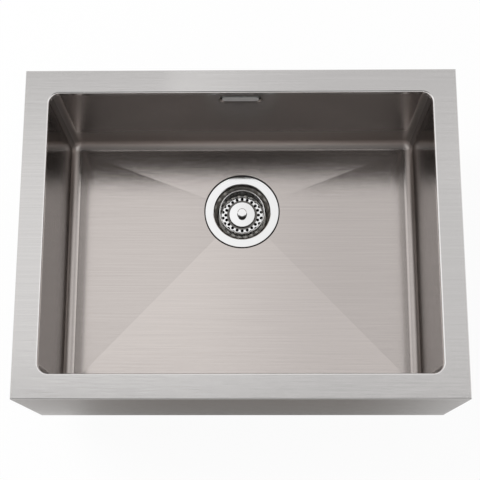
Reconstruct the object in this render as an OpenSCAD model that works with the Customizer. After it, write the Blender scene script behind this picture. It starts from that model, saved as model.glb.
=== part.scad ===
// Stainless steel belfast sink with a basket strainer waste and a slotted overflow.
// Millimetres. The origin is the centre of the rim's top face, +Z is up and the apron faces -Y.

/* [Sink] */
// Width of the sink, left to right
sink_w = 595; // [560:5:800]
// Depth of the sink, front to back
sink_d = 455; // [430:5:520]
// Height of the front apron and the side panels
sink_h = 220; // [205:5:260]
// Width of the flat rim round the bowl
rim_w = 33.5; // [33:0.5:45]
// Thickness of the steel sheet
sheet = 1.2; // [1:0.1:1.5]
// Bend radius where the rim rolls down into the bowl
edge_r = 2.5; // [2:0.5:5]
// Depth to which the rim's rolled edge reaches before the bowl is welded on
lip_drop = 8; // [6:1:10]
// Height of the rim's turned-down back edge
back_turn = 25; // [15:5:40]
// Width of the folded returns along the foot of the panels
return_w = 22; // [15:1:28]
// Outside radius of the panels' folds
fold_r = 2.5; // [2:0.5:4]

/* [Bowl] */
// Depth from the rim's top face to the edge of the floor
bowl_depth = 203; // [190:1:210]
// Radius of the bowl's upright corners
corner_r = 14.5; // [14.5:0.5:30]
// Radius between the walls and the floor
floor_r = 14; // [8:0.5:14]
// Fall of the creased floor from its edge to the waste
floor_fall = 3; // [2:0.5:7]
// Distance from the bowl's back wall to the centre of the waste
drain_back = 111; // [105:1:200]
// Radius of the waste hole
hole_r = 45; // [45:0.5:46]
// Radius of the pressed seat round the waste hole
seat_r = 58.5; // [58:0.5:62]
// Drop of that seat below the lowest point of the creased floor
seat_drop = 1.5; // [1:0.5:3]

/* [Sound pads] */
// Thickness of the sound deadening pads
pad_t = 3; // [2:0.5:4]
// Layer of glue between a pad and the steel
glue_t = 0.1; // [0.05:0.05:0.2]
// Corner radius of the pads
pad_r = 10; // [4:1:15]
// Length of the pads on the side walls
side_pad_l = 240; // [150:10:280]
// Length of the pad on the front wall
front_pad_l = 350; // [200:10:400]
// Height of the pads on the walls
wall_pad_h = 110; // [60:10:140]
// Length of the pads under the left and right of the floor
floor_pad_l = 130; // [80:10:140]
// Width of every pad under the floor
floor_pad_w = 100; // [60:10:110]
// Length of the pad under the front of the floor
floor_front_l = 220; // [120:10:240]
// Distance of the floor pads from the edge of the creased floor
floor_pad_inset = 18; // [10:1:25]

/* [Overflow] */
// Distance of the overflow's centre below the rim's top face
overflow_drop = 24.5; // [24:0.5:40]
// Width of the pressed lip round the overflow slot
lip_w = 62; // [62:1:70]
// Height of the pressed lip
lip_h = 23.5; // [23:0.5:26]
// Depth to which the lip is pressed
lip_press = 1.5; // [1:0.5:2]
// Width of the slot
slot_w = 57; // [56:1:60]
// Height of the slot
slot_h = 19; // [18:0.5:21]
// Width of the cover plate in the slot
cover_w = 51; // [48:0.5:52]
// Height of the cover plate
cover_h = 13; // [10:0.5:14]
// Thickness of the cover plate
cover_t = 1.5; // [1:0.1:2]
// Distance of the cover plate's centre below the slot's centre
cover_low = 0.8; // [0:0.1:1.5]
// Thickness of the rubber seal behind the lip
overflow_seal_t = 2; // [1:0.5:3]
// Depth of the plastic housing behind the slot
housing_t = 22; // [22:0.5:24]
// Wall thickness of the housing
housing_wall = 2.5; // [2:0.5:3]
// Distance of the fixing studs from the slot's centre
stud_x = 43; // [43:1:48]
// Radius of the fixing studs
stud_r = 2.5; // [2:0.5:3]

/* [Overflow hose] */
// Inside radius of the hose
hose_bore_r = 9.1; // [8:0.1:9.5]
// Wall thickness of the hose, to the crests of its ribs
hose_wall = 1.9; // [1.5:0.1:2]
// Radius of the hose's bend, on its centre line
hose_bend_r = 45; // [40:1:48]
// Length of hose pushed on to each spigot
hose_grip = 14; // [10:1:15]
// Length of the hose's plain cuffs
cuff_l = 22; // [17:1:26]
// Distance between the hose's ribs
rib_pitch = 4.5; // [3.5:0.5:6]
// Height of the hose's ribs
rib_h = 1; // [0.6:0.1:1.2]
// Wall thickness of the collars that clamp the hose
collar_wall = 2.4; // [1.5:0.1:2.4]
// Radial clearance between parts that slide together
slip = 0.1; // [0.05:0.05:0.2]

/* [Waste] */
// Radius of the waste's polished flange
flange_r = 56.5; // [55:0.5:57]
// Thickness of the flange and of the cup's wall
cup_t = 1.2; // [1:0.1:1.5]
// Inside radius of the cup at its mouth
mouth_r = 43.5; // [42:0.1:43.5]
// Depth of the step in the cup's wall
step_depth = 12; // [8:1:16]
// Inside radius of the cup below the step
well_r = 38.5; // [37:0.5:39]
// Depth of the cup
cup_depth = 30; // [29:0.5:34]
// Thickness of the gasket under the flange
flange_gasket_t = 1; // [0.5:0.5:1.5]
// Thickness of the rubber gasket under the sink
body_gasket_t = 3; // [2:0.5:4]
// Wall thickness of the plastic waste body
body_wall = 3; // [2.5:0.5:4]
// Height of the waste body's straight chamber
chamber_h = 32; // [30:1:40]
// Height of the cone between the chamber and the outlet
cone_h = 14; // [10:1:20]
// Length of the outlet's threaded tail
tail_l = 26; // [20:1:40]
// Radius of the tail's 1 1/2 inch pipe thread
tail_r = 23.9; // [23:0.1:24.5]
// Radius of the outlet's bore
outlet_r = 20; // [19:0.5:20.5]
// Depth of the overflow inlet's axis below the flange's top face
inlet_depth = 27; // [26:1:30]

/* [Basket] */
// Outside radius of the basket at its rim
basket_r = 34.6; // [33:0.1:36]
// Inside depth of the basket
basket_depth = 20; // [19:0.5:20]
// Thickness of the basket's steel
basket_t = 0.8; // [0.6:0.1:1]
// Taper of the basket's wall, rim to floor
basket_taper = 0.8; // [0:0.1:1.5]
// Number of holes in each ring of the basket
ring_holes = 20; // [12:1:20]
// Radius of the holes in the basket
perf_r = 2.4; // [1.5:0.1:2.4]
// Radius of the polished disc at the foot of the knob
disc_r = 20.3; // [16:0.1:21]
// Radius of the knob's post
post_r = 7; // [5:0.5:8]
// Distance of the post's top below the flange
post_depth = 5; // [2:0.5:8]
// Radius of the rubber seal under the basket
seal_r = 31; // [30:0.5:33]
// Gap left between the seal and the cup's floor
seat_gap = 0.3; // [0.2:0.1:0.5]
// Radius of the pin that carries the seal and the clip
pin_r = 3; // [2.5:0.1:3.5]
// Inside radius of the hollow fixing bolt
socket_r = 6; // [5.5:0.1:6.5]

/* [Hidden] */
$fn = 96;

steel = [0.72, 0.71, 0.70];
bright_steel = [0.86, 0.86, 0.87];
rubber = [0.10, 0.10, 0.11];
pad_grey = [0.28, 0.28, 0.29];
plastic = [0.90, 0.90, 0.88];
brass = [0.80, 0.65, 0.32];

// Reach of a cutter past the face it cuts
over = 1;

// Bowl
open_w = sink_w - 2 * rim_w;
open_d = sink_d - 2 * rim_w;
wall_y = open_d / 2;
wall_x = open_w / 2;
floor_z = -bowl_depth;
crease_x = wall_x - corner_r - 1;
crease_y = wall_y - corner_r - 1;
drain_y = wall_y - drain_back;
low_z = floor_z - floor_fall;
seat_z = low_z - seat_drop;
base_z = -sink_h;

// Overflow, from the bowl's back wall backwards
overflow_z = -overflow_drop;
slot_flat = 2;
lip_r = lip_h / 2 - slot_flat;
slot_r = slot_h / 2 - slot_flat;
lip_back_y = wall_y + lip_press + sheet;
housing_y = lip_back_y + overflow_seal_t;
housing_back_y = housing_y + housing_t;
chamber_gap = 1.5;
chamber_w = slot_w + 2 * chamber_gap;
chamber_z = slot_h + 2 * chamber_gap;
housing_w = chamber_w + 2 * housing_wall;
housing_h = chamber_z + 2 * housing_wall;
housing_r = 6;
chamber_r = 4;
ear_t = 3;
ear_w = 4.5;
ear_r = stud_r + ear_w;
prong_x = cover_w / 3;
prong_r = 2;
nut_t = 4;
stud_end = 2;
stud_l = overflow_seal_t + lip_press + ear_t + nut_t + stud_end;

// Hose
hose_r = hose_bore_r + hose_wall;
spigot_r = hose_bore_r - slip;
spigot_wall = 1.5;
hose_stop = 2;
spigot_l = hose_grip + hose_stop + 1;
collar_r = hose_r + slip + collar_wall;
hose_y = housing_y + housing_t / 2;
hose_top_z = overflow_z - housing_h / 2 - hose_stop;
valley_r = hose_r - rib_h;
rib_crest = 0.2 * rib_pitch;
rib_base = 0.4 * rib_pitch;
rib_points = [[valley_r, -rib_base], [hose_r, -rib_crest], [hose_r, rib_crest], [valley_r, rib_base]];
rib_foot = [valley_r - 0.3, rib_base];

// Waste, with heights measured from the flange's top face
flange_edge = 0.4;
flange_dish = 0.2;
mouth_roll = 1.2;
cup_root = 1.2;
step_run = 3;
step_out = 0.6;
cup_corner = 1.8;
cup_foot_corner = 1;
gasket_inset = 0.5;
flange_z = seat_z + flange_gasket_t + cup_t;
cup_r = mouth_r + cup_t;
under_seat = flange_gasket_t + cup_t + sheet;
body_top = under_seat + body_gasket_t;
bore_slack = 0.6;
body_bore_r = max(hole_r, cup_r) + bore_slack;
body_r = body_bore_r + body_wall;
body_flange_w = 5.5;
body_flange_r = body_r + body_flange_w;
body_flange_t = 4;
chamber_foot = body_top + chamber_h;
cone_foot = chamber_foot + cone_h;
tail_collar_h = 6;
tail_top = cone_foot + tail_collar_h;
tail_foot = tail_top + tail_l;
inlet_z = flange_z - inlet_depth;
hose_end_y = drain_y + body_r + hose_stop;
bend_top_z = inlet_z + hose_bend_r;
drop_l = hose_top_z - bend_top_z;
reach_l = hose_y - hose_bend_r - hose_end_y;

// Fixing bolt, from the cup's floor downwards
bolt_head_t = 1.6;
bolt_head_w = 6.5;
bolt_head_r = socket_r + bolt_head_w;
bolt_sleeve_wall = 2;
bolt_sleeve_r = socket_r + bolt_sleeve_wall;
socket_l = 14;
socket_foot = cup_depth + socket_l;
sleeve_foot = socket_foot + bolt_sleeve_wall;
bolt_r = 4;
insert_r = 6;
boss_wall = 3;
boss_r = insert_r + boss_wall;
boss_set = 1;
boss_top = cone_foot + boss_set;
boss_l = 14;
boss_foot = boss_top + boss_l;
bolt_foot = boss_foot + boss_set;

// Basket, with heights measured from the flange's top face
basket_corner = 1;
basket_bend = 0.5;
post_crown = 1.2;
post_break = 0.35;
disc_cove = 0.6;
disc_fall = 0.3;
disc_edge = 0.8;
pin_step = 1.2;
seal_bevel = 2;
seal_edge = 2;
seal_lip = 3;
basket_foot = basket_depth + basket_t;
basket_floor_r = basket_r - basket_taper;
basket_roll_r = 1;
ring_gap = 2.7;
inner_ring_r = disc_r + perf_r + ring_gap;
ring_edge = 0.6;
outer_ring_r = basket_floor_r - basket_t - perf_r - ring_edge;
disc_lift = 4.2;
disc_depth = basket_depth - disc_lift;
disc_t = 2;
hub_r = 12;
seal_top_r = 11;
seal_hub_l = 5.2;
seal_hub_foot = basket_foot + seal_hub_l;
seal_foot = cup_depth - seat_gap;
washer_r = 8;
washer_t = 0.8;
washer_foot = seal_hub_foot + washer_t;
pin_collar_t = 1.6;
pin_collar_foot = washer_foot + pin_collar_t;
clip_slack = 0.2;
clip_top = pin_collar_foot + clip_slack;
clip_l = 7;
clip_foot = clip_top + clip_l;
pin_head_top = clip_foot + clip_slack;
pin_head_t = 1.5;
pin_foot = pin_head_top + pin_head_t;
fit = 0.06;

// A flat rectangle with round corners, centred on the origin
module round_rect(w, d, r) {
    square([w - 2 * r, d], center = true);
    square([w, d - 2 * r], center = true);
    for (x = [-1, 1], y = [-1, 1])
        translate([x * (w / 2 - r), y * (d / 2 - r)]) circle(r);
}

// A round-cornered plate that stands across the Y axis, from y to y + t
module upright_plate(w, h, r, y, t) {
    translate([0, y + t, 0]) rotate([90, 0, 0]) linear_extrude(t) round_rect(w, h, r);
}

// A quarter of a ring, in the quarter plane that the signs name, or of a disc when it is r thick
module quarter_ring(r, t, sx, sy) {
    intersection() {
        difference() {
            circle(r);
            if (t < r) circle(r - t);
        }
        translate([sx < 0 ? -r : 0, sy < 0 ? -r : 0]) square(r);
    }
}

// Runs a section round a rectangle with round corners: the section's X points outwards from the corners' axes
module frame_run(w, d, r) {
    for (side = [0, 1]) {
        long = side == 0 ? w : d;
        reach = side == 0 ? d : w;
        for (turn = [0, 180])
            rotate([0, 0, side * 90 + turn])
                translate([-(long / 2 - r), -(reach / 2 - r), 0])
                    rotate([90, 0, 90])
                        linear_extrude(long - 2 * r)
                            mirror([1, 0]) children();
    }
    for (corner = [[1, 1, 0], [-1, 1, 90], [-1, -1, 180], [1, -1, 270]])
        translate([corner[0] * (w / 2 - r), corner[1] * (d / 2 - r), 0])
            rotate([0, 0, corner[2]]) rotate_extrude(angle = 90) children();
}

// Half the section of a tub's wall and bottom edge, out from its upright corner's axis
module tub_section(h, rc, rf) {
    translate([0, rf - h]) square([rc, h - rf]);
    translate([0, -h]) square([rc - rf, rf]);
    translate([rc - rf, rf - h]) intersection() {
        circle(rf);
        translate([0, -rf]) square(rf);
    }
}

// A solid tub, flat on top at z = 0, with round corners and a round bottom edge
module tub(w, d, h, rc, rf) {
    translate([-(w / 2 - rc), -(d / 2 - rc), -h]) cube([w - 2 * rc, d - 2 * rc, h]);
    frame_run(w, d, rc) tub_section(h, rc, rf);
}

// The creased floor: four flat facets that fall from a rectangle to the waste
module creased_floor(z) {
    polyhedron(
        points = [
            [-crease_x, -crease_y, z + over], [crease_x, -crease_y, z + over],
            [crease_x, crease_y, z + over], [-crease_x, crease_y, z + over],
            [-crease_x, -crease_y, z], [crease_x, -crease_y, z],
            [crease_x, crease_y, z], [-crease_x, crease_y, z],
            [0, drain_y, z - floor_fall]
        ],
        faces = [
            [3, 2, 1, 0],
            [0, 1, 5, 4], [1, 2, 6, 5], [2, 3, 7, 6], [3, 0, 4, 7],
            [4, 5, 8], [5, 6, 8], [6, 7, 8], [7, 4, 8]
        ]
    );
}

// The inner bowl, with its creased floor, waste seat and overflow slot
module bowl() {
    wall_h = bowl_depth - lip_drop;
    color(steel) difference() {
        union() {
            translate([0, 0, -lip_drop])
                tub(open_w + 2 * sheet, open_d + 2 * sheet, wall_h + sheet,
                    corner_r + sheet, floor_r + sheet);
            creased_floor(floor_z - sheet);
            translate([0, drain_y, seat_z - sheet]) cylinder(r = seat_r + sheet, h = floor_z - seat_z);
            translate([0, 0, overflow_z])
                upright_plate(lip_w + 2 * sheet, lip_h + 2 * sheet, lip_r + sheet, wall_y, lip_press + sheet);
        }
        translate([0, 0, -lip_drop + over])
            tub(open_w, open_d, wall_h + over, corner_r, floor_r);
        creased_floor(floor_z);
        translate([0, drain_y, seat_z]) cylinder(r = seat_r, h = floor_z - seat_z + over);
        translate([0, drain_y, seat_z - sheet - over]) cylinder(r = hole_r, h = sheet + 2 * over);
        translate([0, 0, overflow_z]) {
            upright_plate(lip_w, lip_h, lip_r, wall_y - over, lip_press + over);
            upright_plate(slot_w, slot_h, slot_r, wall_y, lip_press + sheet + over);
        }
    }
}

// The section of a sheet whose two edges fold down as tightly as the sheet allows, top face at Y = 0
module folded_sheet_section(w) {
    translate([-w / 2 + sheet, -sheet]) square([w - 2 * sheet, sheet]);
    for (side = [-1, 1])
        translate([side * (w / 2 - sheet), -sheet]) quarter_ring(sheet, sheet, side, 1);
}

// The flat rim, rolled down into the bowl, folded at its edges and turned down along its back
module rim_deck() {
    color(steel) {
        difference() {
            intersection() {
                translate([0, sink_d / 2, 0])
                    rotate([90, 0, 0]) linear_extrude(sink_d) folded_sheet_section(sink_w);
                translate([-sink_w / 2, 0, 0])
                    rotate([90, 0, 90]) linear_extrude(sink_w) folded_sheet_section(sink_d);
            }
            translate([0, 0, -sheet - over])
                linear_extrude(sheet + 2 * over)
                    round_rect(open_w + 2 * edge_r, open_d + 2 * edge_r, corner_r + edge_r);
        }
        frame_run(open_w, open_d, corner_r) {
            translate([corner_r + edge_r, -edge_r]) quarter_ring(edge_r, sheet, -1, 1);
            translate([corner_r, -lip_drop]) square([sheet, lip_drop - edge_r]);
        }
        translate([-sink_w / 2, sink_d / 2 - sheet, -back_turn]) cube([sink_w, sheet, back_turn - sheet]);
    }
}

// An L-shaped fold: the upright leg at X = 0, the foot along X at Y = 0
module fold_section(h, foot) {
    translate([0, fold_r]) square([sheet, h - fold_r]);
    translate([fold_r, 0]) square([foot - fold_r, sheet]);
    translate([fold_r, fold_r]) quarter_ring(fold_r, sheet, -1, -1);
}

// The front apron, folded back along its foot
module front_apron() {
    color(steel)
        translate([-sink_w / 2, -sink_d / 2, base_z])
            rotate([90, 0, 90]) linear_extrude(sink_w) fold_section(sink_h - sheet, return_w);
}

// A side panel, folded in along its foot and its back edge
module side_panel(side) {
    panel_l = sink_d - 2 * sheet;
    color(steel) mirror([side > 0 ? 1 : 0, 0, 0]) {
        difference() {
            translate([-sink_w / 2, sink_d / 2 - sheet, base_z])
                rotate([90, 0, 0]) linear_extrude(panel_l) fold_section(sink_h - sheet, return_w);
            translate([-sink_w / 2 - over, -sink_d / 2 + sheet - over, base_z - over])
                cube([return_w + 2 * over, return_w - sheet + over, sheet + over]);
        }
        translate([-sink_w / 2, sink_d / 2 - sheet, base_z])
            cube([return_w, sheet, sink_h - back_turn]);
    }
}
module side_panel_left() { side_panel(-1); }
module side_panel_right() { side_panel(1); }

// A sound pad with round corners, lying flat with its top face at z = 0
module pad(l, w) {
    color(pad_grey) translate([0, 0, -pad_t]) linear_extrude(pad_t) round_rect(l, w, pad_r);
}

// A pad on one of the bowl's side walls
module side_wall_pad(side) {
    translate([side * (wall_x + sheet + glue_t), 0, -bowl_depth / 2])
        rotate([0, -side * 90, 0]) pad(wall_pad_h, side_pad_l);
}
module pad_wall_left() { side_wall_pad(-1); }
module pad_wall_right() { side_wall_pad(1); }
module pad_wall_front() {
    translate([0, -wall_y - sheet - glue_t, -bowl_depth / 2])
        rotate([-90, 0, 0]) pad(front_pad_l, wall_pad_h);
}

// A pad under the left or right facet of the floor
module side_floor_pad(side) {
    slope = atan(floor_fall / crease_x);
    inner = (floor_pad_inset + floor_pad_w) / crease_x;
    low_y = -crease_y + inner * (drain_y + crease_y);
    high_y = crease_y - inner * (crease_y - drain_y);
    translate([side * crease_x, (low_y + high_y) / 2, floor_z - sheet - glue_t])
        rotate([0, -side * slope, 0])
            translate([-side * (floor_pad_inset + floor_pad_w / 2), 0, 0])
                pad(floor_pad_w, floor_pad_l);
}
module pad_floor_left() { side_floor_pad(-1); }
module pad_floor_right() { side_floor_pad(1); }
module pad_floor_front() {
    slope = atan(floor_fall / (drain_y + crease_y));
    translate([0, -crease_y, floor_z - sheet - glue_t])
        rotate([-slope, 0, 0])
            translate([0, floor_pad_inset + floor_pad_w / 2, 0])
                pad(floor_front_l, floor_pad_w);
}

// The two studs welded to the back wall, either side of the overflow slot
module overflow_studs() {
    color(bright_steel) for (x = [-1, 1])
        translate([x * stud_x, wall_y + sheet, overflow_z]) rotate([-90, 0, 0]) {
            cylinder(r = stud_r, h = stud_l);
            cylinder(r = stud_r + 1, h = 1);
        }
}

// The rubber seal between the pressed lip and the housing
module overflow_seal() {
    color(rubber) translate([0, 0, overflow_z]) difference() {
        upright_plate(housing_w, housing_h, housing_r, lip_back_y, overflow_seal_t);
        upright_plate(slot_w + 1, slot_h + 1, slot_r, lip_back_y - over, overflow_seal_t + 2 * over);
    }
}

// The housing that leads overflow water down to the hose
module overflow_housing() {
    color(plastic) translate([0, 0, overflow_z]) difference() {
        union() {
            upright_plate(housing_w, housing_h, housing_r, housing_y, housing_t);
            translate([0, housing_y, 0]) rotate([-90, 0, 0]) {
                translate([-stud_x, -ear_r, 0]) cube([2 * stud_x, 2 * ear_r, ear_t]);
                for (x = [-1, 1]) translate([x * stud_x, 0, 0]) cylinder(r = ear_r, h = ear_t);
            }
            translate([0, hose_y, -housing_h / 2 - spigot_l])
                cylinder(r = spigot_r, h = spigot_l + housing_wall);
        }
        upright_plate(chamber_w, chamber_z, chamber_r, housing_y - over, housing_t - housing_wall + over);
        translate([0, hose_y, -housing_h / 2 - spigot_l - over])
            cylinder(r = spigot_r - spigot_wall, h = spigot_l + housing_wall + 2 * over);
        for (x = [-1, 1]) {
            translate([x * stud_x, housing_y - over, 0])
                rotate([-90, 0, 0]) cylinder(r = stud_r + slip + 0.2, h = ear_t + 2 * over);
            translate([x * prong_x, housing_back_y - housing_wall - over, -cover_low])
                rotate([-90, 0, 0]) cylinder(r = prong_r + slip, h = housing_wall + 2 * over);
        }
    }
}

// The nuts that clamp the housing's ears to the studs
module overflow_nuts() {
    color(bright_steel) for (x = [-1, 1])
        translate([x * stud_x, housing_y + ear_t, overflow_z]) rotate([-90, 0, 0]) difference() {
            union() {
                cylinder(r = 1.65 * stud_r, h = nut_t, $fn = 6);
                cylinder(r = 1.9 * stud_r, h = 0.8);
            }
            translate([0, 0, -over]) cylinder(r = stud_r + slip, h = nut_t + 2 * over);
        }
}

// The cover plate that fills most of the slot, on two prongs that snap into the housing
module overflow_cover() {
    color(steel) translate([0, 0, overflow_z - cover_low]) {
        upright_plate(cover_w, cover_h, cover_h / 2 - 1.5, wall_y, cover_t);
        for (x = [-1, 1]) translate([x * prong_x, wall_y + cover_t, 0]) rotate([-90, 0, 0]) {
            cylinder(r = prong_r, h = housing_back_y + 1.2 - wall_y - cover_t);
            cylinder(r = prong_r + 1, h = housing_back_y - housing_wall - 0.2 - wall_y - cover_t);
        }
    }
}

// A round tube that runs down, round its bend and forwards, along the hose's route
module hose_run(r, extra) {
    translate([0, hose_y, bend_top_z]) cylinder(r = r, h = drop_l + extra);
    at_hose_bend() rotate_extrude(angle = 90) translate([hose_bend_r, 0]) circle(r);
    translate([0, hose_end_y - extra, inlet_z]) rotate([-90, 0, 0]) cylinder(r = r, h = reach_l + extra);
}

// Places the bend's axis along Z, with its lower end at angle 0 and its upper end at angle 90
module at_hose_bend() {
    translate([0, hose_y - hose_bend_r, bend_top_z]) rotate([0, 90, 0]) children();
}

// A straight ribbed stretch that starts at z = 0, with a plain cuff at its far end
module ribbed_stretch(length) {
    ribs = floor((length - cuff_l) / rib_pitch);
    cuff_z = length - cuff_l;
    rotate_extrude() polygon(concat(
        [[0, 0], [valley_r, 0]],
        [for (i = [0 : ribs - 1], p = rib_points) [p[0], (i + 0.5) * cuff_z / ribs + p[1]]],
        [[valley_r, cuff_z], [hose_r, cuff_z], [hose_r, length], [0, length]]
    ));
}

// The ribbed overflow hose, from the housing down to the waste body
module overflow_hose() {
    bend_ribs = floor(PI / 2 * hose_bend_r / rib_pitch);
    color(plastic) difference() {
        union() {
            translate([0, hose_y, bend_top_z]) ribbed_stretch(drop_l);
            at_hose_bend() {
                rotate_extrude(angle = 90) translate([hose_bend_r, 0]) circle(valley_r);
                for (i = [0 : bend_ribs - 1]) rotate([0, 0, (i + 0.5) * 90 / bend_ribs])
                    translate([hose_bend_r, 0, 0]) rotate([90, 0, 0])
                        rotate_extrude() polygon(concat(
                            [[0, rib_foot[1] * -1], [rib_foot[0], rib_foot[1] * -1]],
                            [for (p = rib_points) if (p[0] == hose_r) p],
                            [rib_foot, [0, rib_foot[1]]]
                        ));
            }
            translate([0, hose_y - hose_bend_r, inlet_z]) rotate([90, 0, 0]) ribbed_stretch(reach_l);
        }
        hose_run(hose_bore_r, over);
    }
}

// A collar with finger grips that clamps the hose to a spigot
module collar() {
    grips = 12;
    grip_w = 2.4;
    grip_proud = 0.8;
    grip_root = 1;
    color(plastic) difference() {
        union() {
            cylinder(r = collar_r - grip_proud, h = hose_grip);
            for (i = [0 : grips - 1]) rotate([0, 0, i * 360 / grips])
                translate([collar_r - grip_proud - grip_root, -grip_w / 2, 0])
                    cube([grip_proud + grip_root, grip_w, hose_grip]);
        }
        translate([0, 0, -over]) cylinder(r = hose_r + slip, h = hose_grip + 2 * over);
    }
}
module hose_collar_top() {
    translate([0, hose_y, hose_top_z - hose_grip]) collar();
}
module hose_collar_bottom() {
    translate([0, hose_end_y, inlet_z]) rotate([-90, 0, 0]) collar();
}

// Places a piece on the waste's axis, with z = 0 at the flange's top face
module at_waste() {
    translate([0, drain_y, flange_z]) children();
}

// A turned piece, from a list of radius and depth pairs
module turned(points) {
    rotate_extrude() polygon([for (p = points) [p[0], -p[1]]]);
}

// A ring of children, evenly spaced on a circle of radius r
module ring_of(count, r, start = 0) {
    for (i = [0 : count - 1]) rotate([0, 0, start + i * 360 / count]) translate([r, 0, 0]) children();
}

// The polished flange with its pressed cup, and the drain holes in the cup's floor
module waste_flange_cup() {
    inner_holes = 8;
    outer_holes = 12;
    inner_hole_r = 3;
    outer_hole_r = 2.4;
    inner_ring = bolt_head_r + inner_hole_r + 1.5;
    outer_ring = inner_ring + inner_hole_r + outer_hole_r + 2;
    outer_turn = 15;
    color(bright_steel) at_waste() difference() {
        turned([
            [flange_r - flange_edge, 0], [flange_r, flange_edge], [flange_r, cup_t],
            [cup_r + cup_root, cup_t], [cup_r, cup_t + cup_root],
            [cup_r, step_depth + step_out], [well_r + cup_t, step_depth + step_out + step_run],
            [well_r + cup_t, cup_depth - cup_foot_corner], [well_r - cup_foot_corner, cup_depth + cup_t],
            [bolt_sleeve_r + slip, cup_depth + cup_t], [bolt_sleeve_r + slip, cup_depth],
            [well_r - cup_corner, cup_depth], [well_r, cup_depth - cup_corner],
            [well_r, step_depth + step_run], [mouth_r, step_depth],
            [mouth_r, mouth_roll + flange_edge], [mouth_r + mouth_roll / 3, flange_dish + flange_edge],
            [mouth_r + mouth_roll, flange_dish]
        ]);
        translate([0, 0, -cup_depth - cup_t - over]) {
            ring_of(inner_holes, inner_ring) cylinder(r = inner_hole_r, h = cup_t + 2 * over);
            ring_of(outer_holes, outer_ring, outer_turn) cylinder(r = outer_hole_r, h = cup_t + 2 * over);
        }
    }
}

// A flat washer between two depths
module washer(r_in, r_out, top, foot) {
    at_waste() difference() {
        translate([0, 0, -foot]) cylinder(r = r_out, h = foot - top);
        translate([0, 0, -foot - over]) cylinder(r = r_in, h = foot - top + 2 * over);
    }
}
module flange_gasket() {
    color(rubber) washer(cup_r + cup_t + slip, seat_r - gasket_inset, cup_t, cup_t + flange_gasket_t);
}
module body_gasket() {
    color(rubber) washer(body_bore_r, body_flange_r, under_seat, body_top);
}

// The plastic body under the sink: chamber, cone, threaded tail, overflow inlet and bolt boss
module waste_body() {
    ribs = 12;
    rib_t = 3;
    rib_proud = 1.6;
    rib_end = 1.5;
    spoke_t = 3;
    spoke_set = 2;
    spoke_sunk = 0.5;
    tail_shoulder = 2.5;
    bore = body_r - body_wall;
    spigot_foot = hose_end_y - drain_y + hose_grip;
    color(plastic) at_waste() difference() {
        union() {
            difference() {
                union() {
                    turned([
                        [0, body_top], [body_flange_r, body_top], [body_flange_r, body_top + body_flange_t],
                        [body_r, body_top + body_flange_t], [body_r, chamber_foot],
                        [tail_r + tail_shoulder, cone_foot], [tail_r + tail_shoulder, tail_top],
                        [tail_r, tail_top],
                        [tail_r, tail_foot], [0, tail_foot]
                    ]);
                    ring_of(ribs, body_r - 1, 180 / ribs)
                        translate([0, -rib_t / 2, rib_end - chamber_foot])
                            cube([1 + rib_proud, rib_t, chamber_h - body_flange_t - rib_end + 1]);
                    translate([0, 0, -inlet_depth]) rotate([-90, 0, 0]) {
                        cylinder(r = spigot_r, h = spigot_foot);
                        cylinder(r = spigot_r + 1.5, h = body_r + 1.5);
                    }
                }
                turned([
                    [0, body_top - over], [bore, body_top - over], [bore, chamber_foot],
                    [outlet_r, cone_foot], [outlet_r, tail_foot + over], [0, tail_foot + over]
                ]);
            }
            translate([0, 0, -boss_foot]) {
                cylinder(r = boss_r, h = boss_foot - boss_top);
                for (turn = [45, 135]) rotate([0, 0, turn])
                    translate([-outlet_r - spoke_sunk, -spoke_t / 2, spoke_set])
                        cube([2 * (outlet_r + spoke_sunk), spoke_t, boss_foot - boss_top - 2 * spoke_set]);
            }
        }
        translate([0, 0, -inlet_depth]) rotate([-90, 0, 0])
            translate([0, 0, bore - 3]) cylinder(r = spigot_r - spigot_wall, h = spigot_foot);
        translate([0, 0, -boss_foot - over]) cylinder(r = insert_r, h = boss_foot - boss_top + 2 * over);
    }
}

// The hollow bolt that draws the cup and the body together
module fixing_bolt() {
    head_top = cup_depth - bolt_head_t;
    color(bright_steel) at_waste() turned([
        [socket_r, head_top], [bolt_head_r - 0.5, head_top], [bolt_head_r, head_top + 0.5],
        [bolt_head_r, cup_depth], [bolt_sleeve_r, cup_depth], [bolt_sleeve_r, sleeve_foot],
        [bolt_r, sleeve_foot], [bolt_r, bolt_foot], [0, bolt_foot], [0, socket_foot], [socket_r, socket_foot]
    ]);
}

// The brass insert that the bolt screws into
module bolt_insert() {
    color(brass) washer(bolt_r + fit, insert_r, boss_top + 1, boss_foot - 1);
}

// The strainer basket, with two rings of holes in its floor and two in its wall
module basket() {
    wall_rows = [0.3 * basket_depth, 0.65 * basket_depth];
    color(bright_steel) at_waste() difference() {
        union() {
            rotate([0, 0, 90 / ring_holes]) turned([
                [basket_r - basket_t, basket_roll_r], [basket_r, basket_roll_r],
                [basket_floor_r, basket_foot - basket_corner], [basket_floor_r - basket_corner, basket_foot],
                [pin_r + fit, basket_foot], [pin_r + fit, basket_depth],
                [basket_floor_r - basket_t - basket_bend, basket_depth],
                [basket_floor_r - basket_t, basket_depth - basket_bend]
            ]);
            rotate_extrude()
                translate([basket_r - basket_t / 2, -basket_roll_r]) circle(basket_roll_r, $fn = 48);
        }
        translate([0, 0, -basket_foot - over]) {
            ring_of(ring_holes, inner_ring_r) cylinder(r = perf_r, h = basket_t + 2 * over);
            ring_of(ring_holes, outer_ring_r, 180 / ring_holes) cylinder(r = perf_r, h = basket_t + 2 * over);
        }
        for (row = [0 : len(wall_rows) - 1]) translate([0, 0, -wall_rows[row]])
            ring_of(ring_holes, basket_r - 2 * perf_r, row * 180 / ring_holes)
                rotate([0, 90, 0]) cylinder(r = perf_r, h = 3 * perf_r);
    }
}

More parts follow.
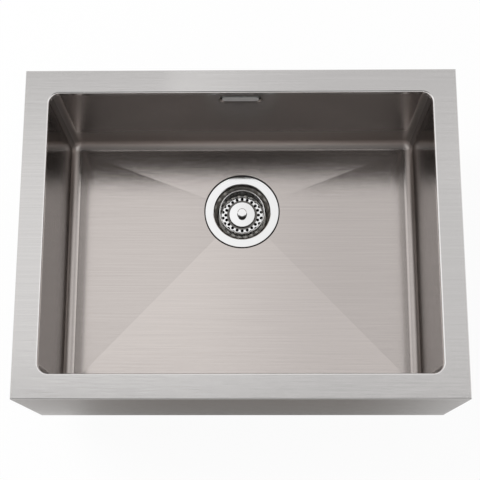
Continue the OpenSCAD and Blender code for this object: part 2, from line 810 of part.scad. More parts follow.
// The knob: post, polished disc and hub, with the pin that runs down through the seal and the clip
module basket_knob() {
    color(bright_steel) at_waste() turned([
        [0, post_depth], [post_r - post_crown, post_depth], [post_r - post_break, post_depth + post_break],
        [post_r, post_depth + post_crown], [post_r, disc_depth - disc_cove], [post_r + disc_cove, disc_depth],
        [disc_r - disc_edge, disc_depth + disc_fall], [disc_r, disc_depth + disc_fall + disc_edge],
        [disc_r, disc_depth + disc_t], [hub_r, disc_depth + disc_t], [hub_r, basket_depth],
        [pin_r, basket_depth], [pin_r, washer_foot], [pin_r + pin_step, washer_foot],
        [pin_r + pin_step, pin_collar_foot], [pin_r, pin_collar_foot], [pin_r, pin_head_top],
        [pin_r + pin_step, pin_head_top], [pin_r + pin_step / 2, pin_foot], [0, pin_foot]
    ]);
}

// The rubber seal that closes the cup when the basket is down
module basket_seal() {
    color(rubber) at_waste() turned([
        [pin_r + fit, basket_foot], [seal_top_r, basket_foot],
        [seal_top_r + seal_bevel, basket_foot + 0.8 * seal_bevel],
        [seal_r, seal_foot - seal_edge], [seal_r, seal_foot], [seal_r - seal_lip, seal_foot],
        [seal_top_r, seal_hub_foot], [pin_r + fit, seal_hub_foot]
    ]);
}
module seal_washer() {
    color(bright_steel) washer(pin_r + fit, washer_r, seal_hub_foot, washer_foot);
}

// The split clip on the pin that grips the fixing bolt's socket
module seat_clip() {
    clip_r = socket_r - 0.4;
    shoulder = 1;
    shoulder_l = 2;
    band_l = 1.5;
    nose = 1.2;
    slit_w = 1;
    color(brass) at_waste() difference() {
        turned([
            [pin_r + fit, clip_top], [clip_r - shoulder, clip_top], [clip_r, clip_top + shoulder_l],
            [clip_r, clip_top + shoulder_l + band_l], [clip_r - nose, clip_foot], [pin_r + fit, clip_foot]
        ]);
        for (turn = [0, 90]) rotate([0, 0, turn])
            translate([-socket_r, -slit_w / 2, -clip_foot - over])
                cube([2 * socket_r, slit_w, clip_foot - clip_top - over]);
    }
}

bowl();
rim_deck();
front_apron();
side_panel_left();
side_panel_right();
pad_wall_left();
pad_wall_right();
pad_wall_front();
pad_floor_left();
pad_floor_right();
pad_floor_front();
overflow_studs();
overflow_seal();
overflow_housing();
overflow_nuts();
overflow_cover();
overflow_hose();
hose_collar_top();
hose_collar_bottom();
waste_flange_cup();
flange_gasket();
body_gasket();
waste_body();
fixing_bolt();
bolt_insert();
basket();
basket_knob();
basket_seal();
seal_washer();
seat_clip();
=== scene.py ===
"""Stainless steel belfast sink: the finish of every piece, and the studio that it is shown in.

Everything is in metres, with the origin at the centre of the rim's top face and the apron facing -Y.
"""

import math
from collections import namedtuple

import bpy
from bpy.props import FloatProperty, FloatVectorProperty, PointerProperty
from bpy.types import Operator, Panel, PropertyGroup
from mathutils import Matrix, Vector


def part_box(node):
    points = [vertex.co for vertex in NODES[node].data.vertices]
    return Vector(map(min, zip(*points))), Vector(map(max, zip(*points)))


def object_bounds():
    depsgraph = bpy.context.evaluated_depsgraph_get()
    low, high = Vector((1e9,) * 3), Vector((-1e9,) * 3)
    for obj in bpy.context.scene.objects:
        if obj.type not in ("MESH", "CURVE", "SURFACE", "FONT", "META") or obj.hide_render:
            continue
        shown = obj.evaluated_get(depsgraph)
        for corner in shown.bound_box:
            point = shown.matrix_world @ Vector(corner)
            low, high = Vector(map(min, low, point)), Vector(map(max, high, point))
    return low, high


bl_info = {
    "name": "Belfast sink finishes",
    "version": (1, 0, 0),
    "blender": (4, 5, 0),
    "location": "3D View > Sidebar > Sink",
    "description": "Finishes the pieces of a stainless steel belfast sink and sets up its studio",
    "category": "Object",
}

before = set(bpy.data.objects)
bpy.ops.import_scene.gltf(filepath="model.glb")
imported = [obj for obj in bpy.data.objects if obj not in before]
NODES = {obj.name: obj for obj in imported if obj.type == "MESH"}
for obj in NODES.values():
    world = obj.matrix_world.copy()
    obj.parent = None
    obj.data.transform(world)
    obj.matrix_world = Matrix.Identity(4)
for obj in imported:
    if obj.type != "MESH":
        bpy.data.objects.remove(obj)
CAD_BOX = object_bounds()
MM = 0.001


# Properties

def length(name, description, default):
    """A length in metres that a user would change."""
    return FloatProperty(name=name, description=description, default=default, min=0, unit="LENGTH",
                         precision=5)


def share(name, description, default):
    """A share from 0 to 1."""
    return FloatProperty(name=name, description=description, default=default, min=0, max=1, subtype="FACTOR")


def colour(name, description, default):
    """A colour, in linear light."""
    return FloatVectorProperty(name=name, description=description, default=default, min=0, max=1,
                               subtype="COLOR")


def place(name, description, default):
    """A place in the part's own frame."""
    return FloatVectorProperty(name=name, description=description, default=default, subtype="TRANSLATION",
                               unit="LENGTH")


class SheetSettings(PropertyGroup):
    """The brushed sheet that the sink is folded from."""

    tint: colour("Steel", "Colour of the brushed sheet", (0.645, 0.630, 0.622))
    bowl_tint: colour("Bowl steel", "Colour of the bowl's own sheet, which is warmer", (0.625, 0.575, 0.55))
    # Painted shade: the bowl's upright walls are darker in colour than its floor, and the walls that face
    # sideways darker still
    wall_shade: share("Wall shade", "How much less the bowl's upright walls reflect than its floor", 0.03)
    side_shade: share("Side shade", "How much less the walls brushed along Y reflect besides", 0.43)
    bend_blur: share("Bend blur", "How much rougher the stretched metal of the bends is", 0.28)
    edge_tint: colour("Edge tint", "How much of the light that grazes the bowl's walls they reflect",
                      (0.75, 0.75, 0.75))
    # Painted highlight: the opening's rolled edge is lighter in colour
    edge_shine: share("Edge shine", "How much more the opening's rolled edge reflects", 0.38)
    # Painted highlight: the bend behind the bowl's floor is lighter in colour
    back_shine: share("Back bend shine", "How much more the bend behind the floor reflects", 0.58)
    back_blur: share("Back bend blur", "How much rougher the foot of the back wall and its bend are", 0.12)
    # Painted shade: the bowl's upright corners are darker in colour
    corner_shade: share("Corner shade", "How much less the bowl's upright corners reflect", 0.45)
    plate: colour("Cover plate", "Colour of the overflow's satin cover plate", (0.78, 0.77, 0.76))
    # Painted shade: the floor's back and side facets are darker in colour than its front facet, to show the
    # creases
    facet_shade: share("Facet shade", "How much less the floor's back and sides reflect than its front", 0.08)
    roughness: share("Roughness", "How far the brushed sheet blurs what it reflects", 0.10)
    tilt: share("Grain tilt", "How far the grain tilts the surface across its own direction", 0.17)
    grain_width: length("Grain width", "Width of one scratch of the grain", 0.02 * MM)
    grain_length: length("Grain length", "Length of one scratch of the grain", 30 * MM)
    streaks: share("Streaks", "How much the longer streaks differ in brightness", 0.12)


class PolishSettings(PropertyGroup):
    """The bright parts of the waste and the strainer."""

    tint: colour("Bright steel", "Colour of the polished steel", (0.93, 0.93, 0.93))
    roughness: share("Roughness", "How far the polished steel blurs what it reflects", 0.06)
    turning: share("Turning marks", "How far the turning marks stretch a highlight", 0.35)
    cup: colour("Cup", "Colour of the waste's cup, which is left as pressed", (0.66, 0.64, 0.60))
    # Painted shade: the basket, all but its sieve ring and rolled rim, is near-black in colour for the shade
    # inside it and under the knob's disc
    basket: colour("Basket", "Colour of the basket's wall, which is left as pressed", (0.22, 0.21, 0.20))
    dull_roughness: share("Pressed roughness", "How far the pressed steel blurs what it reflects", 0.34)
    neck: colour("Neck", "Colour of the dark neck under the knob's cap", (0.018, 0.017, 0.016))
    zinc: colour("Zinc", "Colour of the zinc-plated fasteners", (0.70, 0.71, 0.73))
    brass: colour("Brass", "Colour of the brass insert and clip", (0.80, 0.58, 0.27))


class MouldedSettings(PropertyGroup):
    """The plastic and rubber parts."""

    body: colour("Waste plastic", "Colour of the waste body and the overflow housing", (0.80, 0.80, 0.775))
    hose: colour("Hose plastic", "Colour of the overflow hose", (0.62, 0.62, 0.60))
    collar: colour("Collar plastic", "Colour of the hose's collars", (0.30, 0.31, 0.32))
    rubber: colour("Rubber", "Colour of the seals and gaskets", (0.012, 0.012, 0.013))
    pad: colour("Sound pad", "Colour of the sound deadening pads", (0.075, 0.075, 0.08))


class StudioSettings(PropertyGroup):
    """The camera, the floor and the light."""

    camera: place("Camera", "Where the camera stands", (18.6 * MM, -378.6 * MM, 1383 * MM))
    turn: FloatVectorProperty(name="Camera turn", description="Rotation of the camera, which looks down",
                              default=tuple(math.radians(a) for a in (13.408, 0.768, 0.049)),
                              subtype="EULER", unit="ROTATION")
    lens: FloatProperty(name="Lens", description="Focal length of the camera, in millimetres", default=80.5,
                        min=1)
    shift: FloatProperty(name="Shift", description="Upward shift of the view, as a share of the frame",
                         default=0.05)
    background: colour("Background", "Colour of the background and the floor", (1, 1, 1))
    whitening: share("Whitening", "How far the floor goes to the background's plain white by itself", 0.94)
    ambient: share("Ambient light", "Level of the light from all round on matt surfaces", 0.62)
    key: FloatProperty(name="Key light", description="Power of the large lamp, in watts", default=45, min=0,
                       unit="POWER")
    flag: share("Flag", "Brightness of the dark flag over the front of the studio", 0.13)


# Shader maths

# Where a Mix node for colours has its factor, its two colours and its result. They go by number, because
# its sockets for numbers and vectors have the same names
MIX_FACTOR, MIX_FIRST, MIX_SECOND, MIX_RESULT = 0, 6, 7, 2


class Socket:
    """A node's output in an expression: each operator adds the Math node that works it out."""

    def __init__(self, shader, output):
        self.shader = shader
        self.output = output

    def named(self, name):
        """Another output of the same node."""
        return Socket(self.shader, self.output.node.outputs[name])

    def _math(self, operation, first, second):
        return self.shader.node("Math", {"operation": operation}, {0: first, 1: second})

    def __add__(self, other):
        return self._math("ADD", self, other)

    def __radd__(self, other):
        return self._math("ADD", other, self)

    def __sub__(self, other):
        return self._math("SUBTRACT", self, other)

    def __rsub__(self, other):
        return self._math("SUBTRACT", other, self)

    def __mul__(self, other):
        return self._math("MULTIPLY", self, other)

    def __rmul__(self, other):
        return self._math("MULTIPLY", other, self)

    def __truediv__(self, other):
        return self._math("DIVIDE", self, other)

    def __abs__(self):
        return self._math("ABSOLUTE", self, 0)

    def __gt__(self, other):
        return self._math("GREATER_THAN", self, other)


class Shader:
    """The emptied node tree of a material or a world."""

    def __init__(self, owner):
        owner.use_nodes = True
        self.tree = owner.node_tree
        self.tree.nodes.clear()

    def node(self, kind, settings=None, sockets=None, output=0):
        """Adds a node of that kind: its settings first, then the values or links of its sockets."""
        made = self.tree.nodes.new("ShaderNode" + kind)
        for name, value in (settings or {}).items():
            setattr(made, name, value)
        for name, value in (sockets or {}).items():
            if isinstance(value, Socket):
                self.tree.links.new(value.output, made.inputs[name])
            else:
                made.inputs[name].default_value = value
        return Socket(self, made.outputs[output]) if made.outputs else None

    def place(self):
        """A point's place in the part's own frame."""
        return self.node("TexCoord").named("Object")

    def split(self, vector):
        """The three parts of a vector."""
        parts = self.node("SeparateXYZ", sockets={0: vector})
        return [parts.named(axis) for axis in "XYZ"]

    def join(self, x, y, z):
        """A vector made of three parts."""
        return self.node("CombineXYZ", sockets={0: x, 1: y, 2: z})

    def vector(self, operation, first, second=(0, 0, 0)):
        """A Vector Math node on two vectors."""
        return self.node("VectorMath", {"operation": operation}, {0: first, 1: second})

    def scaled(self, vector, scale):
        """A vector times a number."""
        return self.node("VectorMath", {"operation": "SCALE"}, {0: vector, "Scale": scale})

    def blend(self, factor, first, second):
        """A colour between two colours."""
        return self.node("Mix", {"data_type": "RGBA"},
                         {MIX_FACTOR: factor, MIX_FIRST: first, MIX_SECOND: second}, output=MIX_RESULT)

    def shaded(self, tint, level):
        """A colour times a level that changes over the surface."""
        levels = self.node("CombineColor", sockets={0: level, 1: level, 2: level})
        plain = tint if isinstance(tint, Socket) else opaque(tint)
        return self.node("Mix", {"data_type": "RGBA", "blend_type": "MULTIPLY"},
                         {MIX_FACTOR: 1.0, MIX_FIRST: plain, MIX_SECOND: levels}, output=MIX_RESULT)

    def noise(self, vector, scale=1.0, detail=2.0, roughness=0.5):
        """Soft noise about 0.5, with that many features in a metre of the vector."""
        return self.node("TexNoise", sockets={
            "Vector": vector, "Scale": scale, "Detail": detail, "Roughness": roughness})

    def ramp(self, value, start, end):
        """A smooth rise from 0 to 1 as the value goes from start to end."""
        return self.node("MapRange", {"interpolation_type": "SMOOTHSTEP"}, {
            "Value": value, "From Min": start, "From Max": end, "To Min": 0.0, "To Max": 1.0})

    def bump(self, height, distance, strength=1.0):
        """A normal that follows a height from 0 to 1, which stands for that distance."""
        return self.node("Bump", sockets={"Height": height, "Distance": distance, "Strength": strength})

    def surface(self, sockets):
        """The material's surface."""
        self.output(self.node("BsdfPrincipled", sockets=sockets))

    def output(self, surface, kind="OutputMaterial"):
        """The node that the material or the world ends in."""
        self.node(kind, sockets={"Surface": surface})


def opaque(tint):
    """A colour as a socket takes it."""
    return (*tint, 1.0)


def material(name, build, *settings, **options):
    """The material of that name, built again from its settings."""
    made = bpy.data.materials.get(name) or bpy.data.materials.new(name)
    build(Shader(made), *settings, **options)
    made.diffuse_color = (0.6, 0.6, 0.6, 1)
    return made


def finish(nodes, made):
    """Gives CAD nodes one material."""
    for name in nodes:
        slots = NODES[name].data.materials
        slots.clear()
        slots.append(made)


# Finishes

# A streak's width and length, each as so many times one scratch's
STREAK_WIDTH = 90
STREAK_LENGTH = 5


class SheetFaces:
    """Shares from 0 to 1 that tell a sheet's faces apart, by their place and by the way they face."""

    def __init__(self, shader):
        fully_bent, level_from, sideways_from, inward_from = 0.15, 0.8, 0.7, 0.02
        least_lean, full_lean = 0.004, 0.010
        self.shader = shader
        self.x, self.y, self.z = shader.split(shader.place())
        self.normal = shader.node("TexCoord").named("Normal")
        facing_x, facing_y, facing_z = shader.split(self.normal)
        # This is 1 where the normal lies along an axis, and less in a bend
        flatness = sum((part * part) * (part * part) for part in (facing_x, facing_y, facing_z))
        self.bend = shader.ramp(1 - flatness, 0.0, fully_bent)
        self.upright = 1 - shader.ramp(facing_z, 0.0, level_from)
        self.sideways = abs(facing_x) > sideways_from
        self.front_or_back = abs(facing_y)
        self.corner = abs(facing_x) * self.front_or_back * 2
        # Of the floor's four facets, only the front one leans back
        self.front_facet = shader.ramp(facing_y, least_lean, full_lean)
        # Faces that look towards the middle of the sink
        self.inward = (0 - self.x * facing_x - self.y * facing_y) > inward_from

    def wall_foot(self):
        """1 at the foot of the front and back walls, and less above it."""
        foot_height, fading_height, faded_share = 18 * MM, 45 * MM, 0.6
        foot_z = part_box("bowl")[0].z + foot_height
        fading = faded_share * self.shader.ramp(self.z, foot_z, foot_z + fading_height)
        return (1 - fading) * self.upright * (1 - self.sideways)

    def grain(self, width, run, detail):
        """Noise about 0, drawn out along the brushing. Each line starts at a place of its own."""
        start_per_line = 0.618
        along = self.x + (self.y - self.x) * self.sideways
        across = self.y + (self.x - self.y) * self.sideways
        step = across / width
        climb = self.z * self.upright / width
        start = (step + climb) * start_per_line
        stretched = self.shader.join(along / run + start, step, climb)
        return self.shader.noise(stretched, detail=detail, roughness=0.6) - 0.5

    def tilted(self, tilt):
        """The normal, tilted by that much across the brushing."""
        grain_line = self.shader.join(1 - self.sideways, self.sideways, 0.0)
        across = self.shader.vector("CROSS_PRODUCT", grain_line, self.normal)
        leaning = self.shader.vector("ADD", self.normal, self.shader.scaled(across, tilt))
        return self.shader.vector("NORMALIZE", leaning)


def brushed_sheet(shader, steel, tint, wall_shade=0.0, side_shade=0.0, facet_shade=0.0, edge_shine=0.0,
                  back_shine=0.0, corner_shade=0.0, bend_blur=0.0, back_blur=0.0, edge_tint=(1, 1, 1)):
    """Sheet brushed along X, and along Y on the walls that face sideways, with painted shade and painted
    highlights in its colour where its settings give them.
    """
    streak_blur, cloud_blur = 0.03, 0.04
    faces = SheetFaces(shader)
    scratch = faces.grain(steel.grain_width, steel.grain_length, detail=1.0)
    streak = faces.grain(STREAK_WIDTH * steel.grain_width, STREAK_LENGTH * steel.grain_length, detail=3.0)
    cloud = shader.noise(shader.place(), scale=9.0, detail=2.0) - 0.5
    # Painted shade on the bowl's upright walls, more on those that face sideways
    walls = (1 - faces.upright * wall_shade) * (1 - faces.upright * faces.sideways * side_shade)
    # Painted shade on the floor's back and side facets, which leaves the front facet lighter
    facets = 1 - facet_shade + faces.front_facet * facet_shade
    # Painted highlights on the inward bends, on the rolled edge and on the bend behind the floor, and painted
    # shade on the upright corners
    back_bend = faces.front_or_back * (1 - faces.upright)
    shine = back_bend * back_shine + edge_shine - faces.corner * corner_shade
    bends = 1 + faces.bend * faces.inward * shine
    foot = faces.wall_foot()
    stretched = faces.bend + foot - faces.bend * foot
    blur = faces.front_or_back * back_blur + bend_blur
    shader.surface({
        "Base Color": shader.shaded(tint, (1 + streak * (2 * steel.streaks)) * walls * facets * bends),
        "Metallic": 1.0,
        "Roughness": steel.roughness + streak * streak_blur + cloud * cloud_blur + stretched * blur,
        "Normal": faces.tilted(scratch * (2 * steel.tilt)),
        "Specular Tint": opaque(edge_tint),
    })


def polished_steel(shader, polish, bright, rest):
    """Turned steel, polished where the share that bright works out from x, y and z is 1, and of the colour
    rest elsewhere."""
    scuff_shade, scuff_blur, haze_blur = 0.04, 0.05, 0.03
    scuffs_across, scuffs_upwards = 140, 300
    x, y, z = shader.split(shader.place())
    scuffed = shader.join(x * scuffs_across, y * scuffs_across, z * scuffs_upwards)
    scuff = shader.noise(scuffed, detail=3.0) - 0.5
    haze = shader.noise(shader.place(), scale=25.0, detail=2.0) - 0.5
    shine = bright(shader, x, y, z)
    tint = shader.blend(shine, opaque(rest), opaque(polish.tint))
    blur = (1 - shine) * (polish.dull_roughness - polish.roughness)
    shader.surface({
        "Base Color": shader.shaded(tint, 1 + scuff * scuff_shade),
        "Metallic": 1.0,
        "Roughness": blur + polish.roughness + scuff * scuff_blur + haze * haze_blur,
        "Anisotropic": polish.turning,
    })


def from_waste_axis(shader, x, y):
    """Distance from the waste's upright axis."""
    low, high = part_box("waste_flange_cup")
    spoke = shader.join(x, y - (low.y + high.y) / 2, 0.0)
    return shader.node("VectorMath", {"operation": "LENGTH"}, {0: spoke}, output=1)


def flange_face(shader, x, y, z):
    """The waste's flange, down to where it rolls over into the cup."""
    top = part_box("waste_flange_cup")[1].z
    rolled_z = top - 2.2 * MM
    flat_z = top - 1.2 * MM
    return shader.ramp(z, rolled_z, flat_z)


def sieve_ring(shader, x, y, z):
    """The ring of the basket's floor that the holes are in, and the basket's rolled rim."""
    low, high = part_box("basket")
    inner_edge = (23.2 * MM, 24.2 * MM)
    outer_edge = (31.6 * MM, 32.4 * MM)
    floor_top = (low.z + 1.2 * MM, low.z + 1.6 * MM)
    rim_foot = (high.z - 1.6 * MM, high.z - 0.8 * MM)
    away = from_waste_axis(shader, x, y)
    ring = shader.ramp(away, *inner_edge) * (1 - shader.ramp(away, *outer_edge))
    floor = 1 - shader.ramp(z, *floor_top)
    return ring * floor + shader.ramp(z, *rim_foot)


def knob_metal(shader, x, y, z):
    """All of the knob but the neck between its cap and its disc."""
    cap_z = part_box("basket_knob")[1].z
    neck_edge = (7.2 * MM, 7.6 * MM)
    cap_foot = (cap_z - 1.6 * MM, cap_z - 1.1 * MM)
    neck = 1 - shader.ramp(from_waste_axis(shader, x, y), *neck_edge)
    return 1 - neck * (1 - shader.ramp(z, *cap_foot))


def plated_steel(shader, tint, roughness):
    """Plated or plain metal of small parts, with a slightly uneven lustre."""
    unevenness, relief = 0.16, 0.02 * MM
    mottle = shader.noise(shader.place(), scale=260.0, detail=3.0) - 0.5
    shader.surface({
        "Base Color": shader.shaded(tint, 1 + mottle * unevenness),
        "Metallic": 1.0,
        "Roughness": roughness + mottle * unevenness,
        "Normal": shader.bump(mottle, relief),
    })


def satin_plate(shader, tint):
    """Bead-blasted and lacquered steel, which scatters part of the light, with faint lines along it."""
    line_length, line_width = 12 * MM, 0.5 * MM
    line_shade, line_blur = 0.25, 0.1
    x, y, z = shader.split(shader.place())
    line = shader.noise(shader.join(x / line_length, 0.0, z / line_width), detail=2.0) - 0.5
    shader.surface({
        "Base Color": shader.shaded(tint, 1 + line * line_shade),
        "Metallic": 0.45,
        "Roughness": 0.38 + line * line_blur,
    })


def moulded_plastic(shader, tint, roughness, texture):
    """Moulded plastic with a fine spark-eroded texture and slight flow marks."""
    spark_size = 0.6 * MM
    flow_shade, flow_blur = 0.06, 0.08
    flow = shader.noise(shader.place(), scale=30.0, detail=2.0) - 0.5
    sparkle = shader.noise(shader.place(), scale=1 / spark_size, detail=2.0)
    shader.surface({
        "Base Color": shader.shaded(tint, 1 + flow * flow_shade),
        "Roughness": roughness + flow * flow_blur,
        "Normal": shader.bump(sparkle, texture),
        "IOR": 1.49,
    })


def soft_rubber(shader, tint):
    """Matt rubber with a faint bloom."""
    pore_size, pore_depth = 0.8 * MM, 0.03 * MM
    bloom_shade, bloom_blur = 0.5, 0.22
    bloom = shader.noise(shader.place(), scale=60.0, detail=3.0)
    skin = shader.noise(shader.place(), scale=1 / pore_size, detail=3.0)
    shader.surface({
        "Base Color": shader.shaded(tint, 0.8 + bloom * bloom_shade),
        "Roughness": 0.5 + bloom * bloom_blur,
        "Normal": shader.bump(skin, pore_depth),
        "Specular IOR Level": 0.15,
    })


def damping_pad(shader, tint):
    """A bitumen pad: matt, with a pebbled skin and pale specks."""
    pebble_size, pebble_height = 2.2 * MM, 0.25 * MM
    speck_size, speck_from, speck_shade = 0.9 * MM, 0.70, 0.8
    mottle_shade, mottle_blur = 0.35, 0.12
    pebble = shader.node("TexVoronoi", {"feature": "SMOOTH_F1"}, {
        "Vector": shader.place(), "Scale": 1 / pebble_size, "Smoothness": 0.6})
    speck = shader.noise(shader.place(), scale=1 / speck_size, detail=1.0) > speck_from
    mottle = shader.noise(shader.place(), scale=22.0, detail=3.0) - 0.5
    shader.surface({
        "Base Color": shader.shaded(tint, 1 + mottle * mottle_shade + speck * speck_shade),
        "Roughness": 0.72 + mottle * mottle_blur,
        "Normal": shader.bump(1 - pebble, pebble_height),
    })


# Operators

class SINK_OT_brush_sheets(Operator):
    """Brush the bowl, the rim, the apron, the side panels and the overflow's cover plate"""

    bl_idname = "sink.brush_sheets"
    bl_label = "Brush the sheet steel"

    def execute(self, context):
        steel = context.scene.sink_sheet
        # The outside sheet has a painted highlight on the opening's rolled edge
        outside = material("brushed_steel", brushed_sheet, steel, steel.tint, edge_shine=steel.edge_shine)
        finish(["rim_deck", "front_apron", "side_panel_left", "side_panel_right"], outside)
        # The bowl has painted shade on its walls, its floor's back and side facets and its upright corners,
        # and a painted highlight on the bend behind its floor
        bowl = material("bowl_steel", brushed_sheet, steel, steel.bowl_tint, wall_shade=steel.wall_shade,
                        side_shade=steel.side_shade, facet_shade=steel.facet_shade,
                        back_shine=steel.back_shine, corner_shade=steel.corner_shade,
                        bend_blur=steel.bend_blur, back_blur=steel.back_blur, edge_tint=steel.edge_tint)
        finish(["bowl"], bowl)
        finish(["overflow_cover"], material("overflow_steel", satin_plate, steel.plate))
        return {"FINISHED"}


class SINK_OT_polish_waste(Operator):
    """Polish the waste's flange and cup, the strainer basket and its knob"""

    bl_idname = "sink.polish_waste"
    bl_label = "Polish the waste"

    def execute(self, context):
        polish = context.scene.sink_polish
        finish(["basket_knob"], material("polished_steel", polished_steel, polish, knob_metal, polish.neck))
        finish(["waste_flange_cup"],
               material("flange_steel", polished_steel, polish, flange_face, polish.cup))
        # The basket is polished on its sieve ring and rolled rim, and has painted shade elsewhere, inside it
        # and under the knob's disc
        finish(["basket"], material("basket_steel", polished_steel, polish, sieve_ring, polish.basket))
        return {"FINISHED"}


class SINK_OT_plate_fasteners(Operator):
    """Plate the studs, the nuts, the bolt and the washer, and give the insert and the clip their brass"""

    bl_idname = "sink.plate_fasteners"
    bl_label = "Plate the fasteners"

    def execute(self, context):
        polish = context.scene.sink_polish
        zinc = material("fastener_steel", plated_steel, polish.zinc, roughness=0.28)
        finish(["overflow_studs", "overflow_nuts", "fixing_bolt", "seal_washer"], zinc)
        brass = material("brass", plated_steel, polish.brass, roughness=0.22)
        finish(["bolt_insert", "seat_clip"], brass)
        return {"FINISHED"}


class SINK_OT_mould_plastics(Operator):
    """Give the waste body, the overflow housing, the hose and its collars their plastics"""

    bl_idname = "sink.mould_plastics"
    bl_label = "Mould the plastics"

    def execute(self, context):
        moulded = context.scene.sink_moulded
        body = material("white_plastic", moulded_plastic, moulded.body, roughness=0.36, texture=0.02 * MM)
        finish(["waste_body", "overflow_housing"], body)
        hose = material("hose_plastic", moulded_plastic, moulded.hose, roughness=0.42, texture=0.01 * MM)
        finish(["overflow_hose"], hose)
        collar = material("grey_plastic", moulded_plastic, moulded.collar, roughness=0.45, texture=0.03 * MM)
        finish(["hose_collar_top", "hose_collar_bottom"], collar)
        return {"FINISHED"}


class SINK_OT_fit_rubber(Operator):
    """Give the seals, the gaskets and the sound pads their rubber and bitumen"""

    bl_idname = "sink.fit_rubber"
    bl_label = "Fit the rubber and the pads"

    def execute(self, context):
        moulded = context.scene.sink_moulded
        rubber = material("black_rubber", soft_rubber, moulded.rubber)
        finish(["overflow_seal", "flange_gasket", "body_gasket", "basket_seal"], rubber)
        pads = [name for name in NODES if name.startswith("pad_")]
        finish(pads, material("damping_pad", damping_pad, moulded.pad))
        return {"FINISHED"}


# Studio

def stage_plane(name, centre, width, depth):
    """A level rectangle of the studio, which isn't part of the sink."""
    mesh = bpy.data.meshes.new(name)
    half_w, half_d = width / 2, depth / 2
    corners = [(-half_w, -half_d, 0), (half_w, -half_d, 0), (half_w, half_d, 0), (-half_w, half_d, 0)]
    mesh.from_pydata(corners, [], [(0, 1, 2, 3)])
    plane = bpy.data.objects.new(name, mesh)
    plane.location = centre
    bpy.context.scene.collection.objects.link(plane)
    return plane


def background_rays(shader):
    """1 for the rays that see the background: from the camera, off metal and through glass."""
    rays = shader.node("LightPath")
    seen = rays.named("Is Camera Ray") + rays.named("Is Glossy Ray") + rays.named("Is Transmission Ray")
    return shader.node("Clamp", sockets={0: seen})


def pale_floor(shader, studio):
    """A pale matt floor that goes to the background's white by itself, more so far from the sink."""
    open_from, open_to = 0.9, 2.2
    mirrored_from, mirrored_to = 0.24, 0.6
    matt_level = 0.9
    away = shader.node("VectorMath", {"operation": "LENGTH"}, {0: shader.place()}, output=1)
    seen = shader.node("LightPath").named("Is Camera Ray")
    open_white = studio.whitening + (1 - studio.whitening) * shader.ramp(away, open_from, open_to)
    mirrored_white = shader.ramp(away, mirrored_from, mirrored_to)
    white = background_rays(shader) * (mirrored_white + (open_white - mirrored_white) * seen)
    pale = opaque(matt_level * level for level in studio.background)
    matt = shader.node("BsdfDiffuse", sockets={"Color": pale})
    glow = shader.node("Emission", sockets={"Color": opaque(studio.background), "Strength": 1.0})
    shader.output(shader.node("MixShader", sockets={0: white, 1: matt, 2: glow}))


# A level flag: its name, centre and size, the soft widths of its sides, its back and its front, its shade
# and the share of the light that it covers
Flag = namedtuple("Flag", "name centre size soft shade cover")


def grey(level):
    """A grey of that brightness."""
    return (level, level, level)


def soft_flag(shader, flag):
    """A flag of its shade, which thins out to nothing over its soft widths."""
    half_w, half_d = flag.size[0] / 2, flag.size[1] / 2
    soft_sides, soft_back, soft_front = flag.soft
    x, y, _ = shader.split(shader.place())
    inside_x = shader.ramp(half_w - abs(x), 0.0, soft_sides)
    inside_y = shader.ramp(half_d - y, 0.0, soft_back) * shader.ramp(half_d + y, 0.0, soft_front)
    cloth = shader.node("Emission", sockets={"Color": opaque(flag.shade), "Strength": 1.0})
    gap = shader.node("BsdfTransparent")
    shader.output(shader.node("MixShader", sockets={0: inside_x * inside_y * flag.cover, 1: gap, 2: cloth}))


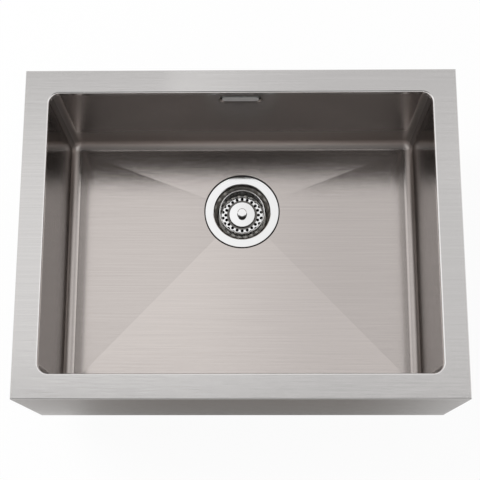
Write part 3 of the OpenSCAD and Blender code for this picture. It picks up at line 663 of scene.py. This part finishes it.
class SINK_OT_set_stage(Operator):
    """Set up the floor, the light, the dark flags and the camera"""

    bl_idname = "sink.set_stage"
    bl_label = "Set the stage"

    def execute(self, context):
        studio = context.scene.sink_studio
        floor_size = 14
        floor = stage_plane("floor", (0, 0, CAD_BOX[0].z), floor_size, floor_size)
        floor.data.materials.append(material("floor", pale_floor, studio))
        self.hang_flags(studio)
        self.light_world(context.scene, studio)
        self.place_lamp(studio)
        self.place_camera(context.scene, studio)
        return {"FINISHED"}

    def hang_flags(self, studio):
        """Soft dark flags that only the steel shows, which give its faces their shades."""
        umber = (0.115, 0.095, 0.080)
        low_z = CAD_BOX[0].z + 2 * MM
        flags = [
            Flag("front_flag", (0, -10.4, 10.0), (18.0, 22.4), (4.0, 1.1, 4.0), grey(studio.flag), 1.0),
            Flag("front_glow", (0, -6.0, 9.6), (4.4, 6.5), (1.2, 1.2, 2.0), grey(0.30), 1.0),
            Flag("camera_flag", (0.02, -0.52, 1.9), (0.7, 0.6), (0.2, 0.2, 0.2), grey(0.02), 1.0),
            Flag("right_flag", (0.75, 0.9, 2.0), (2.05, 2.4), (0.6, 0.6, 0.6), grey(0.5), 0.36),
            Flag("back_flag", (0, 2.2, 2.0), (5.0, 3.0), (1.0, 0.6, 0.6), grey(0.25), 0.42),
            Flag("low_flag", (-0.05, -0.45, low_z), (1.4, 0.5), (0.5, 0.06, 0.06), umber, 0.68),
        ]
        for flag in flags:
            plane = stage_plane(flag.name, flag.centre, *flag.size)
            plane.data.materials.append(material(flag.name, soft_flag, flag))
            plane.visible_camera = False
            plane.visible_shadow = False
            plane.visible_diffuse = False

    def light_world(self, scene, studio):
        """White to the rays that see the background, and plainer light on what is matt."""
        world = bpy.data.worlds.new("studio")
        shader = Shader(world)
        seen = background_rays(shader)
        level = studio.ambient + (1 - studio.ambient) * seen
        light = shader.node("Background", sockets={"Color": opaque(studio.background), "Strength": level})
        shader.output(light, "OutputWorld")
        scene.world = world

    def place_lamp(self, studio):
        """One large soft lamp, high at the back on the left."""
        lamp = bpy.data.lights.new("key_lamp", "AREA")
        lamp.shape = "SQUARE"
        lamp.size = 1.4
        lamp.energy = studio.key
        key = bpy.data.objects.new("key_lamp", lamp)
        key.location = (-1.7, 0.9, 2.0)
        key.visible_glossy = False
        aim(key, (0, 0, -0.1))
        bpy.context.scene.collection.objects.link(key)

    def place_camera(self, scene, studio):
        """The camera, nearly overhead and just in front of the apron."""
        camera = bpy.data.cameras.new("camera")
        camera.sensor_width = 36
        camera.lens = studio.lens
        camera.shift_y = studio.shift
        camera.clip_start = 0.05
        eye = bpy.data.objects.new("camera", camera)
        eye.location = studio.camera
        eye.rotation_euler = studio.turn
        scene.collection.objects.link(eye)
        scene.camera = eye
        scene.view_settings.view_transform = "Standard"


def aim(thing, target):
    """Turns a lamp so that it shines at a place."""
    away = thing.location - type(thing.location)(target)
    thing.rotation_euler = away.to_track_quat("Z", "Y").to_euler()


# Panel and registration

class SINK_PT_finishes(Panel):
    """The finishes and the stage, in the sidebar"""

    bl_label = "Belfast sink"
    bl_idname = "SINK_PT_finishes"
    bl_space_type = "VIEW_3D"
    bl_region_type = "UI"
    bl_category = "Sink"

    def draw(self, context):
        for group, operators in PANEL_ROWS:
            box = self.layout.box()
            settings = getattr(context.scene, group)
            for name in settings.bl_rna.properties.keys():
                if name not in ("rna_type", "name"):
                    box.prop(settings, name)
            for operator in operators:
                box.operator(operator.bl_idname)


SETTINGS = {
    "sink_sheet": SheetSettings,
    "sink_polish": PolishSettings,
    "sink_moulded": MouldedSettings,
    "sink_studio": StudioSettings,
}
PANEL_ROWS = [
    ("sink_sheet", [SINK_OT_brush_sheets]),
    ("sink_polish", [SINK_OT_polish_waste, SINK_OT_plate_fasteners]),
    ("sink_moulded", [SINK_OT_mould_plastics, SINK_OT_fit_rubber]),
    ("sink_studio", [SINK_OT_set_stage]),
]
OPERATORS = [operator for _, operators in PANEL_ROWS for operator in operators]
CLASSES = [*SETTINGS.values(), *OPERATORS, SINK_PT_finishes]


def register():
    for cls in CLASSES:
        bpy.utils.register_class(cls)
    for name, group in SETTINGS.items():
        setattr(bpy.types.Scene, name, PointerProperty(type=group))


def unregister():
    for name in SETTINGS:
        delattr(bpy.types.Scene, name)
    for cls in reversed(CLASSES):
        bpy.utils.unregister_class(cls)


def main():
    """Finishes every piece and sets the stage."""
    register()
    bpy.ops.sink.brush_sheets()
    bpy.ops.sink.polish_waste()
    bpy.ops.sink.plate_fasteners()
    bpy.ops.sink.mould_plastics()
    bpy.ops.sink.fit_rubber()
    bpy.ops.sink.set_stage()


if __name__ == "__main__":
    main()
